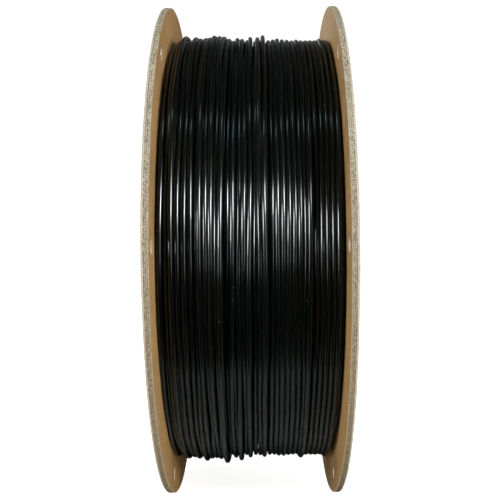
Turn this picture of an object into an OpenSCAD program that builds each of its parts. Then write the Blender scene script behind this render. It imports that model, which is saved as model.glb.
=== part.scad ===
// Filament spool of laminated board: two die-cut flanges glued to the ends of a wound paper tube.
// The spool's axis lies along Y and Z is up. The origin is on the axis, halfway between the flanges.
// Angles round the axis start at +X and turn towards +Z.

/* [Flanges] */
// Diameter of a flange
flange_d = 200; // [195:1:205]
// Width over both flanges
spool_w = 67.5; // [55:0.5:75]
// Diameter of the hub hole
hub_d = 55; // [50:0.5:58]
// Thickness of the kraft liner on each face of a flange
liner_t = 0.38; // [0.3:0.01:0.45]
// Thickness of one greyboard ply, three to a flange
ply_t = 0.58; // [0.5:0.01:0.7]
// Radius of the edge that the cutting die rolls over on a flange's outer side
rolled_r = 0.7; // [0.55:0.05:0.75]

/* [Tie-off holes] */
// Diameter of a tie-off hole
tie_hole_d = 5; // [4:0.1:6]
// Radius of the circle that the tie-off holes lie on
tie_circle_r = 93; // [91.5:0.5:94]
// Angle of the first tie-off hole
tie_from = 1.6; // [0:0.1:10]
// Angle between the two holes of a pair
tie_pair_angle = 48; // [30:1:60]
// Number of pairs of tie-off holes in a flange
tie_pairs = 3; // [1:1:3]

/* [Core tube] */
// Outer diameter of the core tube
core_d = 100; // [90:1:110]
// Thickness of the tube's inner and outer paper plies
core_ply_t = 0.5; // [0.3:0.05:0.7]
// Thickness of the tube's wound greyboard body
core_body_t = 2.5; // [2:0.1:4]
// Thickness of the centring disc in each end of the tube
hub_disc_t = 2.5; // [2:0.1:5]

/* [Filament] */
// Diameter of the filament
filament_d = 1.75; // [1.6:0.05:1.75]
// Diameter over the outer layer of turns
wound_d = 174; // [150:1:176]
// Number of turns in the outer layer
turns = 24; // [12:1:24]

/* [Hidden] */
$fn = 180;

kraft = [0.61, 0.47, 0.29];
greyboard = [0.68, 0.63, 0.53];
black = [0.04, 0.04, 0.04];

// Room between pieces that slide together, and the reach of a cut past the face it opens
fit = 0.05;
past = 1;

// Flange: sheets stack along the axis from the inner face to the outer face
rim_r = flange_d / 2;
hub_r = hub_d / 2;
flange_t = 2 * liner_t + 3 * ply_t;
outer_z = spool_w / 2;
inner_z = outer_z - flange_t;
lip_r = rolled_r - liner_t;
roll_steps = 6;

// Core tube: plies wound one on another
core_r = core_d / 2;
core_body_r = core_r - core_ply_t;
core_bore_r = core_body_r - core_body_t;
core_clear_r = core_bore_r - core_ply_t;

// Winding: one strand laid in turns from the left flange to the right one
strand_r = filament_d / 2;
strand_sides = 6;
rings_per_turn = 24;
turn_step = 360 / rings_per_turn;
turn_r = wound_d / 2 - strand_r;
layers_r = turn_r * cos(turn_step / 2) - strand_r - fit;
wind_y = inner_z - strand_r - 6 * fit;
wind_pitch = 2 * wind_y / turns;
wind_from = 118;
wind_to = wind_from + 360 * turns;

// The outer layer starts one layer down, in a groove, and climbs to its own radius
climb_angle = 40;
climb_steps = 8;
climb_from = wind_from - climb_angle;
lower_r = turn_r - filament_d;
groove_w = filament_d + 4 * fit;
groove_floor_r = lower_r - strand_r - 2 * fit;

// The tail rises off the last turn and bends into a tie-off hole, where it bears on the hole's near side
tail_hole_angle = 360 * turns + tie_from + tie_pair_angle + 120;
tail_bend_r = 6;
tail_bend_step = 15;
tail_steps = 9;
tail_end_angle = tail_hole_angle - arc_angle(tie_hole_d / 2 - strand_r - fit, tie_circle_r);
tail_bend_from = tail_end_angle - arc_angle(tail_bend_r, tie_circle_r);
tail_bend_y = inner_z - 10 * fit - tail_bend_r;
tail_end_y = outer_z - 6 * fit;

// The inner end of the filament comes through the tube's wall and curves along its bore
anchor_angle = 180;
anchor_y = -15;
anchor_hole_d = filament_d + 10 * fit;
anchor_bend_r = 8;
anchor_bend_step = 15;
anchor_bend_end = 60;
anchor_bend_at = core_clear_r - strand_r;

// Geometry helpers
function arc_angle(length, r) = length / r * 180 / PI;
function arc(centre, r, from, to) =
    [for (i = [0 : roll_steps]) let (a = from + (to - from) * i / roll_steps) centre + r * [cos(a), sin(a)]];
function ease(u) = let (v = min(max(u, 0), 1)) v * v * (3 - 2 * v);
function unit(v) = v / norm(v);
function about_axis(angle, r, y) = [r * cos(angle), y, r * sin(angle)];

module on_left() {
    rotate([90, 0, 0]) children();
}

module on_right() {
    mirror([0, 1, 0]) on_left() children();
}

// Strand: rings of a polygon carried along a path without twisting, joined by triangles
function directions(path) =
    let (last = len(path) - 1)
    [for (i = [0 : last]) unit(path[min(i + 1, last)] - path[max(i - 1, 0)])];
function square_to(v, direction) = unit(v - (v * direction) * direction);
function carried(ways, first) =
    [for (i = 0, n = square_to(first, ways[0]); i < len(ways);
        i = i + 1, n = i < len(ways) ? square_to(n, ways[i]) : n) n];

module strand(path, first_normal) {
    ways = directions(path);
    normals = carried(ways, first_normal);
    last = len(path) - 1;
    points = [
        for (i = [0 : last], k = [0 : strand_sides - 1])
            let (a = 360 * k / strand_sides)
            path[i] + strand_r * (cos(a) * normals[i] + sin(a) * cross(ways[i], normals[i]))
    ];
    sides = [
        for (i = [0 : last - 1], k = [0 : strand_sides - 1])
            let (near = i * strand_sides, far = near + strand_sides, next = (k + 1) % strand_sides)
            each [[near + k, far + k, near + next], [near + next, far + k, far + next]]
    ];
    start_cap = [for (k = [1 : strand_sides - 2]) [0, k, k + 1]];
    tip = last * strand_sides;
    end_cap = [for (k = [1 : strand_sides - 2]) [tip, tip + k + 1, tip + k]];
    polyhedron(points, concat(sides, start_cap, end_cap));
}

// Path of the outer layer: the climb, the turns, the rising tail, its bend and its straight end
climb_start = about_axis(climb_from, lower_r, -wind_y);
climb_way = [-sin(climb_from), 0, cos(climb_from)];
climb_path = concat(
    [climb_start, climb_start + filament_d * climb_way],
    [for (i = [1 : climb_steps - 1]) let (u = i / climb_steps)
        about_axis(climb_from + u * climb_angle, lower_r + filament_d * ease(u), -wind_y)]
);
turns_path = [
    for (i = [0 : turns * rings_per_turn])
        about_axis(wind_from + i * turn_step, turn_r, -wind_y + wind_pitch * i / rings_per_turn)
];
tail_path = [
    for (i = [1 : tail_steps])
        let (u = i / tail_steps,
             r = turn_r + (tie_circle_r - turn_r) * ease(u / 0.85),
             y = wind_y - (wind_y - tail_bend_y) * ease((u - 0.25) / 0.75))
        about_axis(wind_to + u * (tail_bend_from - wind_to), r, y)
];
tail_bend_path = [
    for (a = [tail_bend_step : tail_bend_step : 90])
        about_axis(tail_bend_from + arc_angle(tail_bend_r * sin(a), tie_circle_r), tie_circle_r,
            tail_bend_y + tail_bend_r * (1 - cos(a)))
];
tail_end = [about_axis(tail_end_angle, tie_circle_r, tail_end_y)];
outer_layer_path = concat(climb_path, turns_path, tail_path, tail_bend_path, tail_end);

// Least gap between the strand and itself, from half a turn to three and a half turns further on
gap_points_per_ring = 4;
gap_points = [
    for (i = [0 : len(outer_layer_path) - 2], k = [0 : gap_points_per_ring - 1])
        let (start = outer_layer_path[i], end = outer_layer_path[i + 1])
        start + (end - start) * k / gap_points_per_ring
];
gap_from = rings_per_turn * gap_points_per_ring / 2;
gap_to = 7 * gap_from;
gap_last = len(gap_points) - 1;
function least_gap() =
    min([for (i = [0 : gap_last - gap_from])
        min([for (j = [i + gap_from : min(i + gap_to, gap_last)]) norm(gap_points[i] - gap_points[j])])
    ]) - filament_d;

// Path of the inner end: square through the tube's wall, then round a gentle bend towards +Y
anchor_path = concat(
    [for (r = [core_r - fit, core_r - fit - filament_d, anchor_bend_at])
        about_axis(anchor_angle, r, anchor_y)],
    [for (a = [anchor_bend_step : anchor_bend_step : anchor_bend_end])
        about_axis(anchor_angle, anchor_bend_at - anchor_bend_r * sin(a),
            anchor_y + anchor_bend_r * (1 - cos(a)))]
);

module tie_off_holes() {
    for (pair = [0 : tie_pairs - 1], angle = [0, tie_pair_angle])
        rotate([0, 0, tie_from + angle + 120 * pair])
            translate([tie_circle_r, 0, inner_z - past])
                cylinder(d = tie_hole_d, h = flange_t + 2 * past);
}

module flange_sheet(profile) {
    difference() {
        rotate_extrude() polygon(profile);
        tie_off_holes();
    }
}

module flat_sheet(from_z, thickness) {
    to_z = from_z + thickness;
    flange_sheet([[hub_r, from_z], [rim_r, from_z], [rim_r, to_z], [hub_r, to_z]]);
}

// Centres of the rolled edge at the hub hole and at the rim, in the plane of the profile
hub_roll = [hub_r + rolled_r, outer_z - rolled_r];
rim_roll = [rim_r - rolled_r, outer_z - rolled_r];

module outer_liner() {
    color(kraft) flange_sheet(concat(
        arc(hub_roll, rolled_r, 180, 90), arc(rim_roll, rolled_r, 90, 0),
        arc(rim_roll, lip_r, 0, 90), arc(hub_roll, lip_r, 90, 180)
    ));
}

module outer_ply() {
    seat_z = inner_z + liner_t + 2 * ply_t;
    roll_z = outer_z - rolled_r;
    color(greyboard) flange_sheet(concat(
        [[hub_r, roll_z], [hub_r, seat_z], [rim_r, seat_z], [rim_r, roll_z]],
        arc(rim_roll, lip_r, 0, 90), arc(hub_roll, lip_r, 90, 180)
    ));
}

module middle_ply() {
    color(greyboard) flat_sheet(inner_z + liner_t + ply_t, ply_t);
}

module inner_ply() {
    color(greyboard) flat_sheet(inner_z + liner_t, ply_t);
}

module inner_liner() {
    color(kraft) flat_sheet(inner_z, liner_t);
}

module hub_disc() {
    color(greyboard) translate([0, 0, inner_z - hub_disc_t]) difference() {
        cylinder(r = core_clear_r - fit, h = hub_disc_t);
        translate([0, 0, -past]) cylinder(r = hub_r, h = hub_disc_t + 2 * past);
    }
}

module ring(inside_r, outside_r, width) {
    rotate([90, 0, 0]) difference() {
        cylinder(r = outside_r, h = width, center = true);
        cylinder(r = inside_r, h = width + 2 * past, center = true);
    }
}

module core_sleeve(inside_r, outside_r) {
    difference() {
        ring(inside_r, outside_r, 2 * inner_z);
        translate([0, anchor_y, 0]) rotate([0, -anchor_angle, 0]) translate([inside_r - past, 0, 0])
            rotate([0, 90, 0]) cylinder(d = anchor_hole_d, h = outside_r - inside_r + 2 * past);
    }
}

module core_inner_ply() {
    color(kraft) core_sleeve(core_clear_r, core_bore_r);
}

module core_body() {
    color(greyboard) core_sleeve(core_bore_r, core_body_r);
}

module core_outer_ply() {
    color(kraft) core_sleeve(core_body_r, core_r);
}

module filament_inner_end() {
    color(black) strand(anchor_path, [0, 1, 0]);
}

module filament_inner_layers() {
    color(black) difference() {
        ring(core_r, layers_r, 2 * inner_z);
        rotate([90, 0, 0]) rotate([0, 0, climb_from]) rotate_extrude(angle = climb_angle)
            translate([groove_floor_r, wind_y - groove_w / 2]) square([turn_r - groove_floor_r, groove_w]);
    }
}

module filament_outer_layer() {
    echo(least_gap_mm = least_gap());
    color(black) strand(outer_layer_path, about_axis(climb_from, 1, 0));
}

on_left() outer_liner();  // left_outer_liner
on_left() outer_ply();  // left_outer_ply
on_left() middle_ply();  // left_middle_ply
on_left() inner_ply();  // left_inner_ply
on_left() inner_liner();  // left_inner_liner
on_left() hub_disc();  // left_hub_disc
on_right() outer_liner();  // right_outer_liner
on_right() outer_ply();  // right_outer_ply
on_right() middle_ply();  // right_middle_ply
on_right() inner_ply();  // right_inner_ply
on_right() inner_liner();  // right_inner_liner
on_right() hub_disc();  // right_hub_disc
core_inner_ply();
core_body();
core_outer_ply();
filament_inner_end();
filament_inner_layers();
filament_outer_layer();
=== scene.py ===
import math

import bmesh
import bpy
import numpy as np
from mathutils import Matrix, Vector, noise


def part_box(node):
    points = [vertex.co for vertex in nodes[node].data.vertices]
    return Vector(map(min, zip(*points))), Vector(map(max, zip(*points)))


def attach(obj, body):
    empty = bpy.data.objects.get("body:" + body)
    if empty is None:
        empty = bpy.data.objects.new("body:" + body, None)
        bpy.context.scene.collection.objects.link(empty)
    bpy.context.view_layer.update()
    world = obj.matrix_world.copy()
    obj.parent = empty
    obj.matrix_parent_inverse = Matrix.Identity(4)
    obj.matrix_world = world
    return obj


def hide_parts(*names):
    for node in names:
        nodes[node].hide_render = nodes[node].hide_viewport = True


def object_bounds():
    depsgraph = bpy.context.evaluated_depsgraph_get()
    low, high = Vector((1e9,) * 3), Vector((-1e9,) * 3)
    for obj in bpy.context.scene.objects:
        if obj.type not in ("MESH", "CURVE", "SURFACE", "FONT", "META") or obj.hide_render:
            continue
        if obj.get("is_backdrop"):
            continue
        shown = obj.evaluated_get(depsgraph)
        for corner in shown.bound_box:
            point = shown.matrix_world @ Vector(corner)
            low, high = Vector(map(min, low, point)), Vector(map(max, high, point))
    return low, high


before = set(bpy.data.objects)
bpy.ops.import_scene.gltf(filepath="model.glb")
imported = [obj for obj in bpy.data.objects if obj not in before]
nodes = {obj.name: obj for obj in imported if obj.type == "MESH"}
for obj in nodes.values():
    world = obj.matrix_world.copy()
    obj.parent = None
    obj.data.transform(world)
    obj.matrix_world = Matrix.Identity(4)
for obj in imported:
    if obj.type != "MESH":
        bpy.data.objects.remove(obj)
cad_low, cad_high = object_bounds()
MM = 0.001


# Core tube
# A paper tube wound on the slant: kraft plies inside and outside a greyboard body.
# Filament covers its outside and the flanges its ends, so only the inner ply shows, through the hub hole.
class Wire:
    """An output socket of a shader node. Arithmetic adds Math nodes, and add() any other node."""

    def __init__(self, socket):
        self.socket = socket

    def add(self, kind, settings, sockets, output=0):
        node = self.socket.id_data.nodes.new("ShaderNode" + kind)
        for name, value in settings.items():
            setattr(node, name, value)
        for name, value in sockets.items():
            plug(node.inputs[name], value)
        return Wire(node.outputs[output])

    def math(self, operation, *values):
        return self.add("Math", {"operation": operation}, dict(enumerate(values)))

    def __add__(self, other):
        return self.math("ADD", self, other)

    def __radd__(self, other):
        return self.math("ADD", other, self)

    def __sub__(self, other):
        return self.math("SUBTRACT", self, other)

    def __rsub__(self, other):
        return self.math("SUBTRACT", other, self)

    def __mul__(self, other):
        return self.math("MULTIPLY", self, other)

    def __rmul__(self, other):
        return self.math("MULTIPLY", other, self)


def plug(socket, value):
    """Links a wire to a socket, or sets a plain value on it."""
    if isinstance(value, Wire):
        socket.id_data.links.new(value.socket, socket)
    else:
        socket.default_value = value


def stretched(vector, factors):
    return vector.add("VectorMath", {"operation": "MULTIPLY"}, {0: vector, 1: factors})


def distance(place, directions):
    """How far a point is from the origin, counting only the directions that are 1."""
    return place.add("VectorMath", {"operation": "LENGTH"}, {0: stretched(place, directions)}, output=1)


def cloudy(vector, size, detail=3.0):
    """Soft noise from 0 to 1 whose patches are about as large as size, in metres."""
    return vector.add("TexNoise", {}, {"Vector": vector, "Scale": 1 / size, "Detail": detail})


def rising(value, low, high, most=1.0):
    """0 below low and most above high, with a smooth step between."""
    sockets = {"Value": value, "From Min": low, "From Max": high, "To Max": most}
    return value.add("MapRange", {"interpolation_type": "SMOOTHSTEP"}, sockets)


def blended(mask, colour, over):
    """colour where mask is 0 and over where it is 1."""
    return mask.add("Mix", {"data_type": "RGBA"}, {0: mask, 6: colour, 7: over}, output=2)


def relief(height, depth, strength):
    """A normal that follows height, from 0 to 1, over a real depth in metres."""
    return height.add("Bump", {}, {"Strength": strength, "Distance": depth, "Height": height})


def new_finish(name, constants):
    """A material, its shader's sockets with the constants set, and the object's own coordinates."""
    material = bpy.data.materials.new(name)
    material.use_nodes = True
    shader = material.node_tree.nodes["Principled BSDF"]
    for socket, value in constants.items():
        shader.inputs[socket].default_value = value
    place = Wire(shader.outputs["BSDF"]).add("TexCoord", {}, {}, output="Object")
    return material, shader.inputs, place


AROUND_AXIS = (1, 0, 1)
RIM_R = cad_high.x

KRAFT_LIGHT = (0.435, 0.265, 0.100, 1)
KRAFT_DARK = (0.31, 0.178, 0.060, 1)
KRAFT_FLECK = (0.15, 0.08, 0.03, 1)
KRAFT_RUBBED = (0.55, 0.495, 0.385, 1)
KRAFT_GLOSS = {"IOR": 1.45, "Specular IOR Level": 0.25}
KRAFT_ROUGHNESS = 0.66
KRAFT_FUZZ = 0.2
KRAFT_CLOUD_SIZE = 9 * MM
KRAFT_FIBRE_SIZE = 0.5 * MM
KRAFT_FLECK_SIZE = 0.8 * MM
KRAFT_TOOTH = 0.05 * MM
KRAFT_RELIEF = 0.5
KRAFT_CLOUDED = 0.3
KRAFT_TONE = (0.32, 0.70)
KRAFT_FLECKS = (0.70, 0.78, 0.6)
KRAFT_BARE_FIBRES = (0.2, 0.5)
KRAFT_RUB = (RIM_R - 0.55 * MM, RIM_R - 0.15 * MM)


def kraft_paper(name, grain):
    """Brown kraft: cloudy formation, fibres drawn out along the grain, dark flecks, a rim rubbed pale."""
    material, sockets, place = new_finish(name, KRAFT_GLOSS)
    drawn = stretched(place, grain)
    clouds = cloudy(place, KRAFT_CLOUD_SIZE)
    fibres = cloudy(drawn, KRAFT_FIBRE_SIZE, detail=5.0)
    tone = rising(KRAFT_CLOUDED * clouds + (1 - KRAFT_CLOUDED) * fibres, *KRAFT_TONE)
    flecks = rising(cloudy(drawn, KRAFT_FLECK_SIZE, detail=2.0), *KRAFT_FLECKS)
    rubbed = rising(distance(place, AROUND_AXIS), *KRAFT_RUB) * rising(fibres, *KRAFT_BARE_FIBRES)
    colour = blended(tone, KRAFT_DARK, KRAFT_LIGHT)
    colour = blended(flecks, colour, KRAFT_FLECK)
    plug(sockets["Base Color"], blended(rubbed, colour, KRAFT_RUBBED))
    plug(sockets["Roughness"], KRAFT_ROUGHNESS + KRAFT_FUZZ * fibres)
    plug(sockets["Normal"], relief(fibres, KRAFT_TOOTH, KRAFT_RELIEF))
    return material


GLUE_BROWN = (0.085, 0.063, 0.038, 1)
GLUE_EDGE = (0.05 * MM, 0.18 * MM)
GLUE_WAVE = 0.08 * MM
GLUE_WAVE_SIZE = 5 * MM
GLUE_BREAK_SIZE = 0.9 * MM
GLUE_BREAKS = (0.44, 0.54)
GLUE_GAPE_SIZE = 22 * MM
GLUE_GAPES = (0.44, 0.56, 0.25)
GLUE_TIGHT = 0.75


def glue_lines(place, first_joint, ply):
    """1 on the joints between plies, wavy and broken, and a little less where the plies don't gape."""
    along = place.add("SeparateXYZ", {}, {0: place}, output=1)
    wave = GLUE_WAVE * (cloudy(place, GLUE_WAVE_SIZE) - 0.5)
    depth = along.math("ABSOLUTE", along) - first_joint + wave
    line = 1 - rising(depth.math("PINGPONG", depth, ply / 2), *GLUE_EDGE)
    broken = rising(cloudy(place, GLUE_BREAK_SIZE, detail=1.0), *GLUE_BREAKS)
    gaping = GLUE_TIGHT + rising(cloudy(place, GLUE_GAPE_SIZE, detail=2.0), *GLUE_GAPES)
    return line * broken * gaping


GREYBOARD_LIGHT = (0.63, 0.58, 0.455, 1)
GREYBOARD_DARK = (0.26, 0.222, 0.155, 1)
GREYBOARD_FLECK = (0.10, 0.08, 0.052, 1)
# Painted shade with some soiling: the colour the board takes towards its low front.
GREYBOARD_SHADE_AND_SOIL = (0.25, 0.18, 0.095, 1)
# Painted light: the paler colour of the cut edges inside the rim, in the tie-off holes and the hub hole.
GREYBOARD_PAINTED_LIGHT = (0.74, 0.71, 0.63, 1)
BOARD_GLOSS = {"IOR": 1.4, "Specular IOR Level": 0.2}
BOARD_ROUGHNESS = 0.85
BOARD_FUZZ = 0.1
BOARD_LAY = (1, 2, 1)
BOARD_PATCH_SIZE = 2.5 * MM
BOARD_FIBRE_SIZE = 0.5 * MM
BOARD_FLECK_SIZE = 0.75 * MM
BOARD_TOOTH = 0.12 * MM
BOARD_RELIEF = 0.8
BOARD_PATCHED = 0.2
BOARD_TONE = (0.40, 0.58)
BOARD_FLECKS = (0.60, 0.66, 0.55)
BOARD_SHADE_AND_SOIL = (0.55 * RIM_R, 1.65 * RIM_R, 0.85)
BOARD_PAINTED_LIGHT = (2 * MM, 3 * MM, 0.6)
SHADED_LOW_FRONT = (0.6, 0, -0.8)


def raw_greyboard(name, first_joint, ply):
    """Recycled board on its cut edge: laid fibres, dark flecks and glue lines, darker and warmer towards
    the low front, where shade is painted with some soiling.
    """
    material, sockets, place = new_finish(name, BOARD_GLOSS)
    laid = stretched(place, BOARD_LAY)
    patches = cloudy(place, BOARD_PATCH_SIZE)
    fibres = cloudy(laid, BOARD_FIBRE_SIZE)
    tone = rising(BOARD_PATCHED * patches + (1 - BOARD_PATCHED) * fibres, *BOARD_TONE)
    flecks = rising(cloudy(laid, BOARD_FLECK_SIZE, detail=1.0), *BOARD_FLECKS)
    # Painted shade with some soiling: the board turns darker and warmer towards the low front.
    low_front = place.add("VectorMath", {"operation": "DOT_PRODUCT"}, {0: place, 1: SHADED_LOW_FRONT}, output=1)
    shade_and_soil = rising(low_front + RIM_R * patches, *BOARD_SHADE_AND_SOIL)
    # Painted light: cut edges more than a few millimetres inside the rim are painted paler, as the lit
    # walls of the holes.
    painted_light = rising(RIM_R - distance(place, AROUND_AXIS), *BOARD_PAINTED_LIGHT)
    colour = blended(tone, GREYBOARD_DARK, GREYBOARD_LIGHT)
    colour = blended(flecks, colour, GREYBOARD_FLECK)
    colour = blended(shade_and_soil, colour, GREYBOARD_SHADE_AND_SOIL)
    colour = blended(painted_light, colour, GREYBOARD_PAINTED_LIGHT)
    plug(sockets["Base Color"], blended(glue_lines(place, first_joint, ply), colour, GLUE_BROWN))
    plug(sockets["Roughness"], BOARD_ROUGHNESS + BOARD_FUZZ * fibres)
    plug(sockets["Normal"], relief(fibres, BOARD_TOOTH, BOARD_RELIEF))
    return material


SMOOTH_BELOW = math.radians(35)
CUT_EDGE_BELOW = 0.5
MERGED_WITHIN = 0.001 * MM


def finished_piece(name, bm, *materials):
    """Makes an object of the bmesh, with crisp edges. A second material goes on its cut edges."""
    bmesh.ops.recalc_face_normals(bm, faces=bm.faces)
    for face in bm.faces:
        face.smooth = True
        face.material_index = len(materials) - 1 if abs(face.normal.y) < CUT_EDGE_BELOW else 0
    for edge in bm.edges:
        edge.smooth = edge.calc_face_angle(0) < SMOOTH_BELOW
    mesh = bpy.data.meshes.new(name)
    bm.to_mesh(mesh)
    bm.free()
    for material in materials:
        mesh.materials.append(material)
    piece = bpy.data.objects.new(name, mesh)
    bpy.context.scene.collection.objects.link(piece)
    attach(piece, "root")
    return piece


def turned_ring(inside_r, outside_r, low_y, high_y, steps):
    """A ring about the spool's axis: one rectangle of profile, spun right round."""
    bm = bmesh.new()
    corners = [(inside_r, low_y), (outside_r, low_y), (outside_r, high_y), (inside_r, high_y)]
    profile = bm.faces.new([bm.verts.new((r, y, 0)) for r, y in corners])
    edges = profile.edges[:]
    bmesh.ops.delete(bm, geom=[profile], context="FACES_ONLY")
    axis = {"cent": (0, 0, 0), "axis": (0, 1, 0)}
    bmesh.ops.spin(bm, geom=edges, angle=math.tau, steps=steps, use_merge=True, **axis)
    bmesh.ops.remove_doubles(bm, verts=bm.verts, dist=MERGED_WITHIN)
    return bm


CORE_WALL = 0.5 * MM
CORE_GRAIN = (1, 0.25, 1)
TUBE_SEGMENTS = 192
core_low, core_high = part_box("core_inner_ply")
core_kraft = kraft_paper("core_kraft", CORE_GRAIN)
core_board = raw_greyboard("core_board", core_high.y, core_high.y)
core_ply = finished_piece(
    "tube_inner_ply",
    turned_ring(core_high.x - CORE_WALL, core_high.x, core_low.y, core_high.y, TUBE_SEGMENTS),
    core_kraft,
)
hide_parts("core_inner_ply")
nodes["core_outer_ply"].data.materials[0] = core_kraft
nodes["core_body"].data.materials[0] = core_board


# Centring discs
# Two greyboard rings, die-cut from the same board as the flanges and glued inside the tube's ends.
# They centre the tube on the flange and double the edge of the hub hole.
ON_AXIS = (0, 0, 0)
HUB_R = 27.5 * MM
HUB_SEGMENTS = 360
DISC_PLIES = 4
WALL_CUTS = 4
GROOVE = 0.24 * MM
GROOVE_SIZE = 1.1 * MM
GROOVE_SHARPNESS = 4
FRAY = 0.10 * MM
FRAY_SIZE = 0.6 * MM
ON_OUTLINE_WITHIN = 0.01 * MM


def ring_outline(bm, radius, segments, centre):
    """A circle in the plane of the board, square to the spool's axis."""
    place = Matrix.Translation(centre) @ Matrix.Rotation(math.radians(90), 4, "X")
    return bmesh.ops.create_circle(bm, radius=radius, segments=segments, matrix=place)["verts"]


def cut_board(outlines, low_y, high_y, plies=1):
    """A board inside the first outline, with the others as holes, frayed where the die cut it."""
    bm = bmesh.new()
    for outline in outlines:
        ring_outline(bm, *outline)
    bmesh.ops.translate(bm, verts=bm.verts, vec=(0, low_y, 0))
    bmesh.ops.triangle_fill(bm, use_beauty=True, edges=bm.edges[:])
    grown = bmesh.ops.extrude_face_region(bm, geom=bm.faces[:])["geom"]
    top = {item for item in grown if isinstance(item, bmesh.types.BMVert)}
    bmesh.ops.translate(bm, verts=list(top), vec=(0, high_y - low_y, 0))
    walls = [edge for edge in bm.edges if (edge.verts[0] in top) != (edge.verts[1] in top)]
    bmesh.ops.subdivide_edges(bm, edges=walls, cuts=(WALL_CUTS + 1) * plies - 1, use_grid_fill=True)
    for vert in bm.verts:
        fray(vert, outlines, low_y, (high_y - low_y) / plies)
    return bm


def fray(vert, outlines, low_y, ply):
    """Pulls a point of the cut edge back from its outline, most at the faces of the ply."""
    for radius, segments, centre in outlines:
        out = Vector((vert.co.x - centre[0], 0, vert.co.z - centre[2]))
        if abs(out.length - radius) > ON_OUTLINE_WITHIN:
            continue
        across = abs(2 * ((vert.co.y - low_y) / ply % 1) - 1)
        parted = 0.5 + 0.5 * noise.noise(vert.co / GROOVE_SIZE)
        loose = 0.5 + 0.5 * noise.noise(vert.co / FRAY_SIZE)
        back = GROOVE * parted * across**GROOVE_SHARPNESS + FRAY * loose
        outward = 1 if radius == outlines[0][0] else -1
        vert.co -= out.normalized() * back * outward


disc_low, disc_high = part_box("right_hub_disc")
disc_board = raw_greyboard("disc_board", disc_low.y, (disc_high.y - disc_low.y) / DISC_PLIES)
for side in ("left", "right"):
    disc_low, disc_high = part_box(side + "_hub_disc")
    disc_outlines = [(disc_high.x, TUBE_SEGMENTS, ON_AXIS), (HUB_R, HUB_SEGMENTS, ON_AXIS)]
    bm = cut_board(disc_outlines, disc_low.y, disc_high.y, DISC_PLIES)
    disc = finished_piece(side + "_centring_disc", bm, disc_board)
    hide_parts(side + "_hub_disc")


# Flange plies
# Three greyboard sheets, glued face to face, are the body of each flange.
# The die cuts rim, hub hole and tie-off holes through all of them, so the plies show on every cut edge.
RIM_SEGMENTS = 1600
HOLE_SEGMENTS = 32
TIE_CIRCLE_R = 93 * MM
TIE_HOLE_R = 2.5 * MM
TIE_FROM = 1.6
TIE_PAIR_ANGLE = 48
TIE_PAIRS = 3
TIE_SPACING = 360 / TIE_PAIRS


def about_axis(angle, r, y):
    return (r * math.cos(angle), y, r * math.sin(angle))


pair_starts = [TIE_FROM + pair * TIE_SPACING for pair in range(TIE_PAIRS)]
tie_angles = [start + angle for start in pair_starts for angle in (0, TIE_PAIR_ANGLE)]
tie_centres = [about_axis(math.radians(angle), TIE_CIRCLE_R, 0) for angle in tie_angles]
flange_outlines = [(RIM_R, RIM_SEGMENTS, ON_AXIS), (HUB_R, HUB_SEGMENTS, ON_AXIS)]
flange_outlines += [(TIE_HOLE_R, HOLE_SEGMENTS, centre) for centre in tie_centres]

ply_low, ply_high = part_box("right_inner_ply")
flange_board = raw_greyboard("flange_board", ply_low.y, ply_high.y - ply_low.y)
for side in ("left", "right"):
    for layer in ("outer", "middle", "inner"):
        node = f"{side}_{layer}_ply"
        ply_low, ply_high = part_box(node)
        bm = cut_board(flange_outlines, ply_low.y, ply_high.y)
        board = finished_piece(f"{side}_{layer}_board", bm, flange_board)
        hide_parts(node)


# Flange liners
# A sheet of brown kraft paper on each face of the flange, with its grain upright.
# The die comes from outside: it rolls the outer liner's edge over the board and leaves the inner one sharp.
LINER_GRAIN = (1, 1, 0.2)
ROLL_STEPS = 5
TIE_HOLE_ROLL = 0.5


def rolled_liner(sign, face_y, paper, roll):
    """The outer liner: a flat sheet whose every cut edge follows a quarter round into the board."""
    bm = bmesh.new()
    loops = []
    for radius, segments, centre in flange_outlines:
        outward = 1 if radius == RIM_R else -1
        edge_roll = roll if radius > TIE_HOLE_R else TIE_HOLE_ROLL * roll
        verts = ring_outline(bm, radius - outward * edge_roll, segments, centre)
        loops.append((verts, radius, outward, edge_roll, Vector(centre)))
    bmesh.ops.translate(bm, verts=bm.verts, vec=(0, face_y, 0))
    bmesh.ops.triangle_fill(bm, use_beauty=True, edges=bm.edges[:])
    for verts, radius, outward, edge_roll, centre in loops:
        edges = [edge for edge in bm.edges if edge.verts[0] in verts and edge.is_boundary]
        for step in range(1, ROLL_STEPS + 1):
            turn = math.radians(90) * step / ROLL_STEPS
            grown = bmesh.ops.extrude_edge_only(bm, edges=edges)["geom"]
            edges = [item for item in grown if isinstance(item, bmesh.types.BMEdge)]
            reach = radius - outward * edge_roll * (1 - math.sin(turn))
            for vert in [item for item in grown if isinstance(item, bmesh.types.BMVert)]:
                out = Vector((vert.co.x - centre.x, 0, vert.co.z - centre.z)).normalized()
                vert.co = centre + out * reach
                vert.co.y = face_y - sign * edge_roll * (1 - math.cos(turn))
    bmesh.ops.recalc_face_normals(bm, faces=bm.faces)
    bmesh.ops.solidify(bm, geom=bm.faces[:], thickness=paper)
    return bm


liner_kraft = kraft_paper("liner_kraft", LINER_GRAIN)
for side, sign in (("left", -1), ("right", 1)):
    low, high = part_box(side + "_outer_liner")
    flat_low, flat_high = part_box(side + "_inner_liner")
    face_y = high.y if sign > 0 else low.y
    bm = rolled_liner(sign, face_y, paper=flat_high.y - flat_low.y, roll=high.y - low.y)
    liner = finished_piece(side + "_outer_paper", bm, liner_kraft)
    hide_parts(side + "_outer_liner")
    bm = cut_board(flange_outlines, flat_low.y, flat_high.y)
    liner = finished_piece(side + "_inner_paper", bm, liner_kraft, flange_board)
    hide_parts(side + "_inner_liner")


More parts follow.
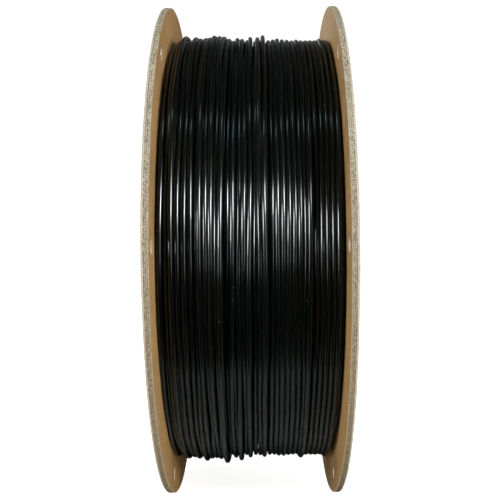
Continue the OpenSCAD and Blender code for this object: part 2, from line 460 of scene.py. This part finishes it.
# Filament, inner end
# The filament is one strand of black plastic, extruded round and glossy.
# It starts inside the tube: it comes in through a hole in the wall and curves along the bore.
STRAND_R = 0.875 * MM
STRAND_D = 2 * STRAND_R
STRAND_SIDES = 6
FILAMENT_BLACK = (0.0014, 0.0024, 0.0020, 1)
FILAMENT_GLOSS = {"IOR": 1.47, "Specular Tint": (0.86, 1, 0.98, 1)}
FILAMENT_ROUGHNESS = 0.14
ASLANT_ROUGHNESS = (0.35, 0.8, 0.27)
HAZE_SIZE = 6 * MM
HAZE_ROUGHNESS = 0.08
DUST_GREY = (0.22, 0.23, 0.23, 1)
DUST_SPACING = 3.5 * MM
DUST_SPECK = (0.03, 0.05)
DUST_COVER = 0.6
DUST_ROUGHNESS = 0.3


def black_filament():
    """Extruded black plastic: glossy, hazy in places, duller seen aslant, with a few specks of dust."""
    material, sockets, place = new_finish("black_filament", FILAMENT_GLOSS)
    haze = cloudy(place, HAZE_SIZE)
    specks = place.add("TexVoronoi", {}, {"Vector": place, "Scale": 1 / DUST_SPACING})
    dust = 1 - rising(specks, *DUST_SPECK)
    aslant = rising(place.add("LayerWeight", {}, {}, output="Facing"), *ASLANT_ROUGHNESS)
    plug(sockets["Base Color"], blended(DUST_COVER * dust, FILAMENT_BLACK, DUST_GREY))
    plug(sockets["Roughness"], FILAMENT_ROUGHNESS + HAZE_ROUGHNESS * haze + DUST_ROUGHNESS * dust + aslant)
    return material


filament = black_filament()


def strand(name, points):
    """A round strand along the points, closed at both ends."""
    curve = bpy.data.curves.new(name, "CURVE")
    curve.dimensions = "3D"
    curve.bevel_depth = STRAND_R
    curve.bevel_resolution = STRAND_SIDES
    curve.use_fill_caps = True
    spline = curve.splines.new("POLY")
    spline.points.add(len(points) - 1)
    spline.points.foreach_set("co", [value for point in points for value in (*point, 1)])
    spline.use_smooth = True
    curve.materials.append(filament)
    piece = bpy.data.objects.new(name, curve)
    bpy.context.scene.collection.objects.link(piece)
    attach(piece, "root")
    return piece


ANCHOR_Y = -15 * MM
ANCHOR_BEND_R = 8 * MM
ANCHOR_BEND = math.radians(60)
ANCHOR_STEPS = 12
ANCHOR_GAP = 0.05 * MM
core_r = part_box("core_outer_ply")[1].x
anchor_bend_from = core_high.x - CORE_WALL - STRAND_R
anchor_points = [(ANCHOR_GAP - core_r, ANCHOR_Y, 0)]
for step in range(ANCHOR_STEPS + 1):
    turn = ANCHOR_BEND * step / ANCHOR_STEPS
    inward = anchor_bend_from - ANCHOR_BEND_R * math.sin(turn)
    anchor_points.append((-inward, ANCHOR_Y + ANCHOR_BEND_R * (1 - math.cos(turn)), 0))
inner_end = strand("filament_start", anchor_points)
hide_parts("filament_inner_end")


# Filament, wound layers
# The strand is laid turn by turn from flange to flange and back, over the layers already there.
# It slides into the grooves below, rides over what it crosses and, being pulled taut, bridges the dips.
SAMPLES = 96
LAYERS = 4
MOST_TURNS = 60
PITCH = 1.81 * MM
LAID_FROM_R = 80.2 * MM
DRUM_FILL = 1.2 * MM
UNEVEN = 0.75 * MM
CROWDED = 0.05
CROWDED_SOON = 1.6
PACE_NOISE = 0.12
PACE_RATE = 0.9
PACE_ROW = 7.3
WANDER = 1 * MM
WANDER_RATE = 0.55
WANDER_START = 3.1
WANDER_ROW = 2.7
WANDER_HOLD = 4
PULL = 0.2
SLIDE = 0.14 * MM
STEEPEST = 0.42 * MM
FEEL = 0.2 * MM
EDGE_GAP = 0.3 * MM
CLIMB = 0.5 * MM
FLANGE_GAP = 0.1 * MM
TAUT_SPANS = (16, 8, 4, 2, 1)
TAUT_PASSES = 3
ROUNDING = np.array([1, 2, 3, 2, 1]) / 9
TAIL_FROM = 31
inner_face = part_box("right_inner_liner")[0].y
REACH = inner_face - STRAND_R - FLANGE_GAP
step_angle = math.tau / SAMPLES


def held(value, low, high):
    return min(max(value, low), high)


def ease(u):
    """0 to 1 as u goes from 0 to 1, with a level start and end."""
    v = held(u, 0, 1)
    return v * v * (3 - 2 * v)


def resting(y, bed, y_below, r_below):
    """How far from the axis a strand at y comes to rest, on the bed or on the turns already there."""
    lift = np.sqrt(np.maximum(STRAND_D**2 - (y - y_below) ** 2, 0))
    return np.where(lift > 0, r_below + lift, 0).max(initial=bed)


def lay_turns():
    """Where the strand's centre is along the axis, and how far from it, sample by sample."""
    ys = np.zeros(LAYERS * MOST_TURNS * SAMPLES)
    rs = np.zeros_like(ys)
    guide, way, layer, count, y, reach = REACH, -1, 1, 0, REACH, REACH
    while layer <= LAYERS:
        turn = count / SAMPLES
        across = guide / REACH
        pace = 1 + PACE_NOISE * noise.noise((turn * PACE_RATE, layer * PACE_ROW, 0))
        pace -= CROWDED * ease(-CROWDED_SOON * across)
        guide += way * pace * PITCH / SAMPLES
        if abs(guide) > reach:
            layer += 1
            way = -way
            reach = REACH - EDGE_GAP if layer > LAYERS - 2 else REACH
            guide = math.copysign(reach - CLIMB, guide)
        wander = WANDER * noise.noise((turn * WANDER_RATE, WANDER_START, layer * WANDER_ROW))
        wander *= 1 - across**WANDER_HOLD
        bed = LAID_FROM_R + UNEVEN * math.sin(count * step_angle)
        below = slice(count % SAMPLES, max(count - SAMPLES + 1, 0), SAMPLES)
        under = (bed, ys[below], rs[below])
        tilt = (resting(y + FEEL, *under) - resting(y - FEEL, *under)) / (2 * FEEL)
        move = PULL * (guide + wander - y) - SLIDE * tilt
        y = held(y + held(move, -STEEPEST, STEEPEST), -REACH, REACH)
        ys[count] = y
        rs[count] = resting(y, *under)
        count += 1
        if count % (SAMPLES // 2) == 0:
            pull_taut(rs, max(count - SAMPLES, 0), count)
    while count % SAMPLES != TAIL_FROM:
        count -= 1
    return ys[: count + 1], rs[: count + 1]


def pull_taut(rs, first, last):
    """Lifts samples that lie under the straight line between samples on either side of them."""
    bend = 1 / rs[first:last]
    for span in TAUT_SPANS * TAUT_PASSES:
        line = (bend[: -2 * span] + bend[2 * span :]) / (2 * math.cos(span * step_angle))
        bend[span:-span] = np.minimum(bend[span:-span], line)
    rs[first:last] = 1 / bend


def eased(values):
    """Values averaged with their neighbours, as a stiff strand rounds a kink."""
    return np.convolve(np.pad(values, len(ROUNDING) // 2, mode="edge"), ROUNDING, mode="valid")


laid_y, laid_r = (eased(values) for values in lay_turns())
laid_angle = np.arange(len(laid_y)) * step_angle
laid = [about_axis(*sample) for sample in zip(laid_angle, laid_r, laid_y)]
per_layer = len(laid) // LAYERS
outer_from = per_layer * (LAYERS - 1)
inner_from = per_layer * (LAYERS - 2)

layers_low, layers_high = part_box("filament_inner_layers")
drum = finished_piece(
    "wound_core",
    turned_ring(core_r, LAID_FROM_R + DRUM_FILL, layers_low.y, layers_high.y, TUBE_SEGMENTS),
    filament,
)
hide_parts("filament_inner_layers")
inner_turns = strand("inner_turns", laid[inner_from : outer_from + 1])
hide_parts("filament_inner_layers")


# Filament, outer layer and tail
# The last layer is the one that shows, wound from flange to flange by the same strand.
# Its end lifts off the winding on the far side and is tucked into a tie-off hole of the right flange.
TAIL_BEND_R = 6 * MM
TAIL_STEPS = 24
BEND_STEPS = 10
TAIL_UP_BY = 0.85
TAIL_ASIDE_FROM = 0.25
TAIL_HOLE_GAP = 0.1 * MM
TAIL_SET_BACK = 0.5 * MM
TAIL_SHORT = 0.3 * MM
tail_hole = math.radians(TIE_FROM + TIE_PAIR_ANGLE + TIE_SPACING)
tail_from = TAIL_FROM * step_angle
tail_end = tail_hole - (TIE_HOLE_R - STRAND_R - TAIL_HOLE_GAP) / TIE_CIRCLE_R
tail_bend = tail_end - TAIL_BEND_R / TIE_CIRCLE_R
tail_bend_y = inner_face - TAIL_SET_BACK - TAIL_BEND_R
tail = []
for step in range(1, TAIL_STEPS + 1):
    u = step / TAIL_STEPS
    r = laid_r[-1] + (TIE_CIRCLE_R - laid_r[-1]) * ease(u / TAIL_UP_BY)
    y = laid_y[-1] + (tail_bend_y - laid_y[-1]) * ease((u - TAIL_ASIDE_FROM) / (1 - TAIL_ASIDE_FROM))
    tail.append(about_axis(tail_from + u * (tail_bend - tail_from), r, y))
for step in range(1, BEND_STEPS + 1):
    turn = math.radians(90) * step / BEND_STEPS
    angle = tail_bend + TAIL_BEND_R * math.sin(turn) / TIE_CIRCLE_R
    tail.append(about_axis(angle, TIE_CIRCLE_R, tail_bend_y + TAIL_BEND_R * (1 - math.cos(turn))))
tail.append(about_axis(tail_end, TIE_CIRCLE_R, cad_high.y - TAIL_SHORT))
outer_turns = strand("outer_turns", laid[outer_from:] + tail)
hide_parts("filament_outer_layer")


# Studio
# A white floor and backdrop, with soft lamps on both sides, above and behind.
# Cards on the floor and gleams of the lamps show only in reflections, where they shape the gloss; the cards
# are painted shade and light in the strands' reflection of the floor.
scene = bpy.context.scene
scene.view_settings.view_transform = "Standard"
ground = cad_low.z
FLOOR_HALF = 4.0
SHADOW_REACH = 0.2
BACKDROP_X = -1.1
BACKDROP_HALF = 1.6
BACKDROP_TOP = 0.85
WHITE = (1, 1, 1, 1)
MATT = {"Roughness": 1.0, "Specular IOR Level": 0.0}


def grey(tone):
    return (tone, tone, tone, 1)


def studio_white(name, tone, glow, mirrored):
    """Card that takes the shadow. The camera sees it glow, and reflections a mirrored share of that."""
    material, sockets, place = new_finish(name, {"Base Color": grey(tone), **MATT})
    away = rising(distance(place, (1, 1, 0)), SHADOW_REACH, 3 * SHADOW_REACH)
    camera_ray = place.add("LightPath", {}, {}, output="Is Camera Ray")
    clear_ray = place.add("LightPath", {}, {}, output="Is Transmission Ray")
    glossy_ray = place.add("LightPath", {}, {}, output="Is Glossy Ray")
    plug(sockets["Emission Color"], blended(away, grey(glow), WHITE))
    plug(sockets["Emission Strength"], camera_ray + clear_ray + mirrored * glossy_ray)
    return material


def stage_card(name, corners, material):
    """A flat card that isn't part of the object."""
    bm = bmesh.new()
    bm.faces.new([bm.verts.new(corner) for corner in corners])
    mesh = bpy.data.meshes.new(name)
    bm.to_mesh(mesh)
    bm.free()
    mesh.materials.append(material)
    card = bpy.data.objects.new(name, mesh)
    scene.collection.objects.link(card)
    card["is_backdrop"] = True
    return card


def lying(rear, front, z):
    """Corners of a card that lies level, from rear to front along X and as wide as the floor."""
    return [
        (rear, -FLOOR_HALF, z),
        (front, -FLOOR_HALF, z),
        (front, FLOOR_HALF, z),
        (rear, FLOOR_HALF, z),
    ]


floor_white = studio_white("floor_white", tone=0.92, glow=0.90, mirrored=0.02)
stage_card("floor", lying(-FLOOR_HALF, FLOOR_HALF, ground), floor_white)
backdrop_corners = [
    (BACKDROP_X, -BACKDROP_HALF, ground),
    (BACKDROP_X, BACKDROP_HALF, ground),
    (BACKDROP_X, BACKDROP_HALF, BACKDROP_TOP),
    (BACKDROP_X, -BACKDROP_HALF, BACKDROP_TOP),
]
stage_card("backdrop", backdrop_corners, studio_white("backdrop_white", tone=0.1, glow=1.0, mirrored=0.55))

# Cards seen only in reflections: the black ones are painted shade in the strands' reflection of the floor,
# in front of the spool and under and behind it; the pale, slightly cool one between them sets how bright
# that reflection is.
CARD_LIFT = 1 * MM
PALE_FROM = 18 * MM
PALE_TO = 104 * MM
REFLECTED_SHADE_BLACK = grey(0.01)
REFLECTED_FLOOR_PALE = (0.82, 0.91, 0.91, 1)
reflection_cards = (
    ("front_shade_card", PALE_TO, FLOOR_HALF, REFLECTED_SHADE_BLACK),
    ("middle_reflection_card", PALE_FROM, PALE_TO, REFLECTED_FLOOR_PALE),
    ("rear_shade_card", -FLOOR_HALF, PALE_FROM, REFLECTED_SHADE_BLACK),
)
for name, rear, front, colour in reflection_cards:
    card_finish = new_finish(name, {"Base Color": colour, **MATT})[0]
    reflection_card = stage_card(name, lying(rear, front, ground + CARD_LIFT), card_finish)
    reflection_card.visible_camera = False
    reflection_card.visible_diffuse = False
    reflection_card.visible_shadow = False

SKY_LIGHT = 0.03
world = bpy.data.worlds.new("studio")
scene.world = world
world.use_nodes = True
background = world.node_tree.nodes["Background"]
background.inputs["Color"].default_value = WHITE
seen = Wire(background.outputs["Background"]).add("LightPath", {}, {}, output="Is Camera Ray")
plug(background.inputs["Strength"], SKY_LIGHT + (1 - SKY_LIGHT) * seen)


def soft_light(name, turn, rise, away, width, height, radiance, colour=(1, 1, 1)):
    """A panel that faces the spool, turned from the camera's side and raised, in degrees."""
    lamp = bpy.data.lights.new(name, "AREA")
    lamp.shape = "RECTANGLE"
    lamp.size = width
    lamp.size_y = height
    lamp.energy = radiance * math.pi * width * height
    lamp.color = colour
    light = bpy.data.objects.new(name, lamp)
    turned = Matrix.Rotation(math.radians(turn), 3, "Z") @ Matrix.Rotation(math.radians(-rise), 3, "Y")
    light.location = turned @ Vector((away, 0, 0))
    light.rotation_euler = (-light.location).to_track_quat("-Z", "Y").to_euler()
    light.visible_camera = False
    scene.collection.objects.link(light)
    return light


SIDE_TURN = 48
SIDE_AWAY = 1.3
BULB_TINT = (1, 0.91, 0.94)


def side_lamp(side, radiance, gleam, spill):
    """A softbox that lights the board, and the gleam and spill of its bulb, which the strands reflect."""
    turn = side * SIDE_TURN
    bulb = soft_light("gleam", turn, away=SIDE_AWAY, radiance=76, colour=BULB_TINT, **gleam)
    bulb.visible_diffuse = False
    skirt = soft_light("spill", turn, away=0.6, width=0.18, radiance=7, colour=BULB_TINT, **spill)
    skirt.visible_diffuse = False
    box = soft_light("softbox", turn, rise=10, away=SIDE_AWAY, width=0.80, height=0.36, radiance=radiance)
    box.visible_glossy = False


side_lamp(
    side=-1,
    radiance=11.3,
    gleam={"rise": 9.5, "width": 0.32, "height": 0.28},
    spill={"rise": -2, "height": 0.126},
)
side_lamp(
    side=1,
    radiance=14.0,
    gleam={"rise": 20, "width": 0.46, "height": 0.31},
    spill={"rise": 2.5, "height": 0.22},
)
ceiling = soft_light(
    "ceiling_lamp", turn=0, rise=63, away=1.1, width=0.25, height=0.14, radiance=8, colour=(0.75, 0.95, 1)
)
ceiling.visible_diffuse = False
overhead = soft_light("overhead", turn=0, rise=82, away=1.2, width=0.9, height=0.9, radiance=1.7)
overhead.visible_glossy = False
soft_light("back_light", turn=-152, rise=16, away=1.2, width=0.8, height=0.6, radiance=5.5)


# Camera
# It stands in front, level with the hub and close enough that both flanges show their inner faces.
# The slight turn and roll are those of the photograph.
LENS = 58.22
CAMERA_PLACE = Vector((347.6, 2.6, 5.0)) * MM
CAMERA_AIM = Vector((0.0, -1.10, -0.11)) * MM
CAMERA_ROLL = math.radians(-0.5)
NEAREST_SEEN = 10 * MM
camera_data = bpy.data.cameras.new("camera")
camera_data.lens = LENS
camera_data.clip_start = NEAREST_SEEN
camera = bpy.data.objects.new("camera", camera_data)
camera.location = CAMERA_PLACE
looking = (CAMERA_AIM - CAMERA_PLACE).to_track_quat("-Z", "Y").to_matrix()
camera.rotation_euler = (looking @ Matrix.Rotation(CAMERA_ROLL, 3, "Z")).to_euler()
scene.collection.objects.link(camera)
scene.camera = camera

low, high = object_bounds()
